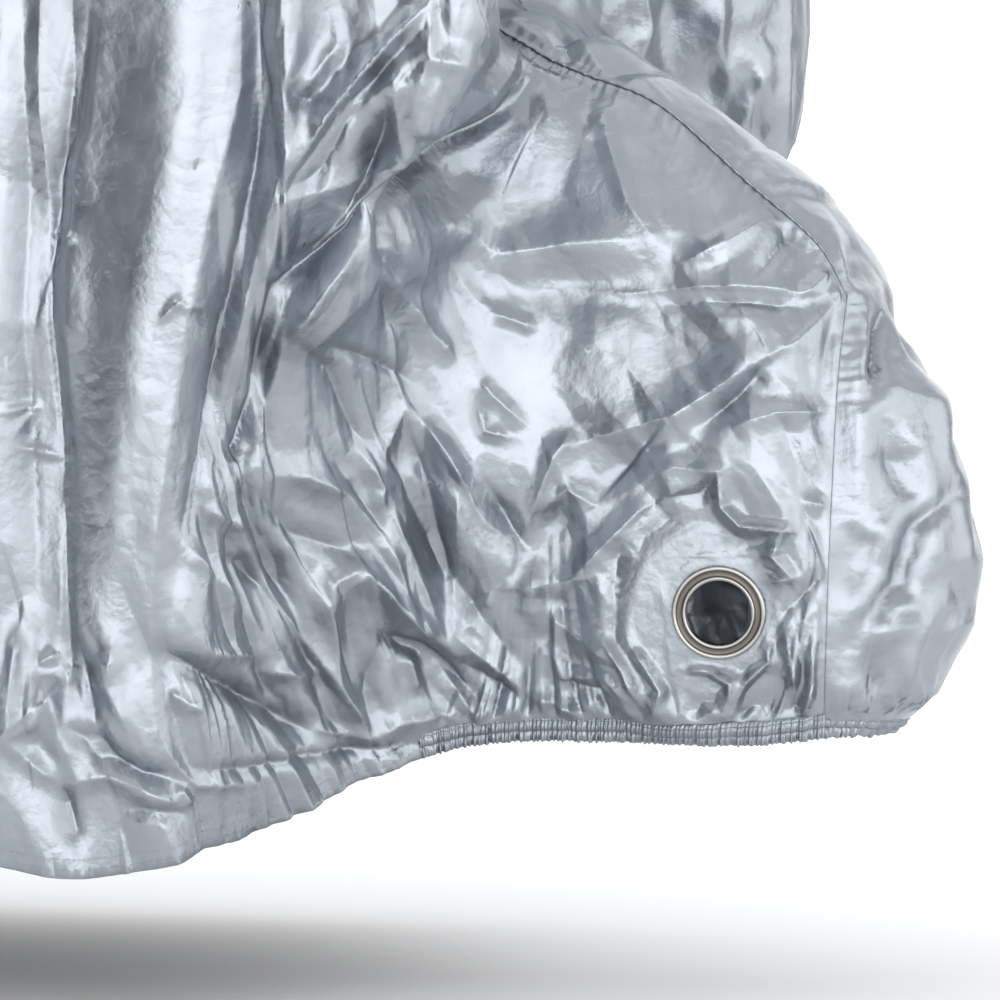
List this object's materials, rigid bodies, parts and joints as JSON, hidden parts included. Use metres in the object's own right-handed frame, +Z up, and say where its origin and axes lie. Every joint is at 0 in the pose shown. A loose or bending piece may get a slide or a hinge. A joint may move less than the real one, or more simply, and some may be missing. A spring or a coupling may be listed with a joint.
{
  "type": "motorcycle cover",
  "caption": "Fitted motorcycle cover in silver coated cloth, hollow and open below, draped as over the machine, with gathered hems and steel lock eyelets.",
  "frame": {"origin": "on the middle plane at the inner face of the centre strip, under the hood's top, where the machine holds the cover up", "axes": "+X forward to the nose, +Y to the left side, +Z up"},
  "size_m": [2.1318, 0.7498, 1.0489],
  "materials": {
    "coated_cloth": "satin silver coating",
    "patch_cloth": "satin silver coating",
    "eyelet_steel": "bright plated"
  },
  "bodies": {
    "root": {"panel_right": "coated_cloth", "panel_left": "coated_cloth", "top_strip": "coated_cloth", "patch_right": "patch_cloth", "patch_left": "patch_cloth", "eyelet_right": "eyelet_steel", "eyelet_left": "eyelet_steel"}
  },
  "joints": []
}
